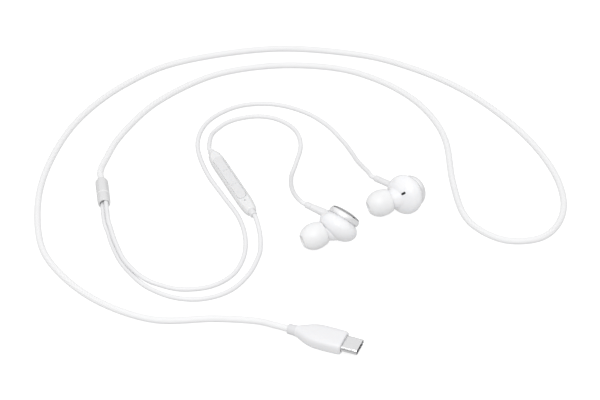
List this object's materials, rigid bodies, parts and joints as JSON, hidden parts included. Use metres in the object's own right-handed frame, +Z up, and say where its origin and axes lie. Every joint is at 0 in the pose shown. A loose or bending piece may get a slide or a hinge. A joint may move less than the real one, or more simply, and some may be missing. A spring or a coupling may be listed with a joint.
{
  "type": "wired earphones",
  "caption": "Wired in-ear earphones with angled nozzles and silicone tips, an in-line three-key remote, a splitter with a chin slider and a USB-C plug on a braided cord.",
  "frame": {"origin": "on the surface that the set lies on, under the middle of the box round the two earbuds", "axes": "+Z up; +X from the left earbud towards the right one as seen from the front, which is the pair's longest extent; +Y away from the viewer, towards the top of the main loop"},
  "size_m": [0.2227, 0.2117, 0.0166],
  "materials": {
    "gloss_shell": "gloss white",
    "rear_shell": "satin white",
    "bezel": "satin silver side with a polished edge",
    "silicone": "soft satin white",
    "boot_rubber": "satin white",
    "braid": "white braid",
    "ear_cord": "satin white",
    "mesh": "fine steel mesh",
    "black_mesh": "black acoustic mesh",
    "driver_steel": "plated steel",
    "magnet": "nickel plated",
    "coil": "enamelled copper wire",
    "film": "clear polymer film",
    "board": "green solder mask",
    "keys": "gloss white",
    "switch": "metal snap domes",
    "gold": "gold plated",
    "shell_steel": "bright stainless steel",
    "black_plastic": "black moulded plastic"
  },
  "bodies": {
    "earphones": {"left_front_housing": "gloss_shell", "left_rear_housing": "rear_shell", "left_bezel": "bezel", "left_rear_cap": "gloss_shell", "left_nozzle_mesh": "mesh", "left_vent_mesh": "black_mesh", "left_cable_boot": "boot_rubber", "left_driver_can": "driver_steel", "left_driver_magnet": "magnet", "left_pole_plate": "driver_steel", "left_voice_coil": "coil", "left_diaphragm": "film", "left_terminal_board": "board", "right_front_housing": "gloss_shell", "right_rear_housing": "rear_shell", "right_bezel": "bezel", "right_rear_cap": "gloss_shell", "right_nozzle_mesh": "mesh", "right_vent_mesh": "black_mesh", "right_cable_boot": "boot_rubber", "right_driver_can": "driver_steel", "right_driver_magnet": "magnet", "right_pole_plate": "driver_steel", "right_voice_coil": "coil", "right_diaphragm": "film", "right_terminal_board": "board", "remote_front_cover": "gloss_shell", "remote_rear_cover": "gloss_shell", "remote_board": "board", "dome_switches": "switch", "microphone": "gold", "remote_boots": "boot_rubber", "splitter_core": "boot_rubber", "splitter_sleeve": "gloss_shell", "plug_grip": "rear_shell", "plug_shell": "shell_steel", "plug_insulator": "black_plastic", "plug_contacts": "gold", "plug_latches": "shell_steel", "plug_board": "board", "plug_chip": "black_plastic", "main_cord": "braid", "right_ear_cord": "ear_cord", "left_lower_cord": "ear_cord", "left_upper_cord": "ear_cord"},
    "volume_up_key": {"volume_up_key": "keys"},
    "play_key": {"play_key": "keys"},
    "volume_down_key": {"volume_down_key": "keys"},
    "left_ear_tip": {"left_ear_tip": "silicone"},
    "right_ear_tip": {"right_ear_tip": "silicone"},
    "chin_slider": {"chin_slider": "gloss_shell"}
  },
  "joints": [
    {"name": "volume_up_press", "type": "slide", "parent": "earphones", "child": "volume_up_key", "axis": [0.253, 0.1095, -0.9613], "range_m": [0, 0.00025], "stiffness_N_per_m": 500},
    {"name": "play_press", "type": "slide", "parent": "earphones", "child": "play_key", "axis": [0.253, 0.1095, -0.9613], "range_m": [0, 0.00025], "stiffness_N_per_m": 500},
    {"name": "volume_down_press", "type": "slide", "parent": "earphones", "child": "volume_down_key", "axis": [0.253, 0.1095, -0.9613], "range_m": [0, 0.00025], "stiffness_N_per_m": 500},
    {"name": "left_ear_tip_pull", "type": "slide", "parent": "earphones", "child": "left_ear_tip", "axis": [-0.899, -0.4129, -0.1459], "range_m": [0, 0.005]},
    {"name": "right_ear_tip_pull", "type": "slide", "parent": "earphones", "child": "right_ear_tip", "axis": [-0.9295, -0.3314, -0.1619], "range_m": [0, 0.005]},
    {"name": "chin_slider_slide", "type": "slide", "parent": "earphones", "child": "chin_slider", "axis": [0.1305, -0.9914, 0], "range_m": [0, 0.01]}
  ]
}
